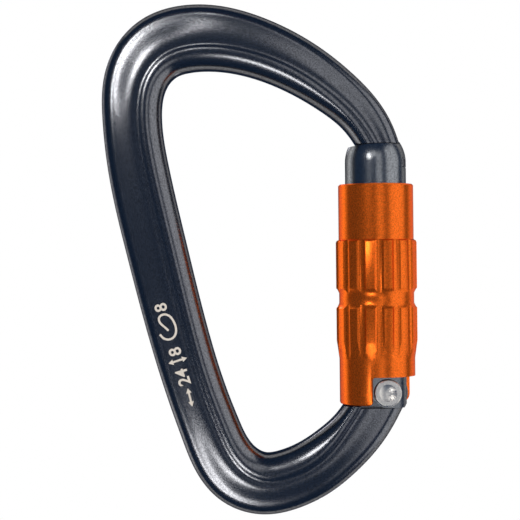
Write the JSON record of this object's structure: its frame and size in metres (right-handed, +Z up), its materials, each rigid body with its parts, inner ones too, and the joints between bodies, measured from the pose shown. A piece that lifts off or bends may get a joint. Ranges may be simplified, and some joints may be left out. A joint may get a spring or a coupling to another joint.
{
  "type": "locking carabiner",
  "caption": "Large asymmetric D carabiner: dark forged aluminium frame, gate on a riveted hinge, ribbed orange auto-locking sleeve.",
  "frame": {"origin": "where the rope bears on the inner side of the top bow, at mid thickness", "axes": "+Z up along the closed gate, +X from the spine to the gate, +Y from the front face to the back face"},
  "size_m": [0.0694, 0.0178, 0.1128],
  "materials": {
    "frame_anodised": "satin",
    "gate_anodised": "satin",
    "sleeve_anodised": "satin",
    "stainless": "satin",
    "spring_steel": "gloss",
    "acetal": "matte"
  },
  "bodies": {
    "frame": {"frame": "frame_anodised"},
    "gate": {"gate": "gate_anodised", "hinge_rivet": "stainless", "guide_pins": "stainless", "gate_spring": "spring_steel", "sleeve_spring": "spring_steel"},
    "plunger": {"gate_plunger": "stainless"},
    "thrust": {"thrust_ring": "stainless"},
    "sleeve": {"lock_sleeve": "sleeve_anodised", "guide_bush_front": "acetal", "guide_bush_back": "acetal"}
  },
  "joints": [
    {"name": "gate_swing", "type": "hinge", "parent": "frame", "child": "gate", "pos_m": [0.039, 0, -0.0715], "axis": [0, -1, 0], "range_deg": [0, 24], "stiffness_Nm_per_rad": 0.4, "springref_deg": -34.38},
    {"name": "plunger_slide", "type": "slide", "parent": "gate", "child": "plunger", "axis": [0, 0, 1], "range_m": [0, 0.0015], "stiffness_N_per_m": 50, "springref_m": -0.002, "deforming": ["gate_spring"]},
    {"name": "sleeve_lift", "type": "slide", "parent": "gate", "child": "thrust", "axis": [0, 0, 1], "range_m": [0, 0.0043], "stiffness_N_per_m": 30, "springref_m": -0.004, "deforming": ["sleeve_spring"]},
    {"name": "sleeve_twist", "type": "hinge", "parent": "thrust", "child": "sleeve", "pos_m": [0.03712, 0, -0.0715], "axis": [0, 0, -1], "range_deg": [0, 75], "stiffness_Nm_per_rad": 0.005, "springref_deg": -28.65}
  ],
  "couplings": [
    {"joint": "sleeve_lift", "follows": "gate_swing", "m_per_rad": 0.010265},
    {"joint": "sleeve_twist", "follows": "gate_swing", "ratio": 3.125},
    {"joint": "plunger_slide", "follows": "gate_swing", "m_per_rad": 0.00358}
  ]
}
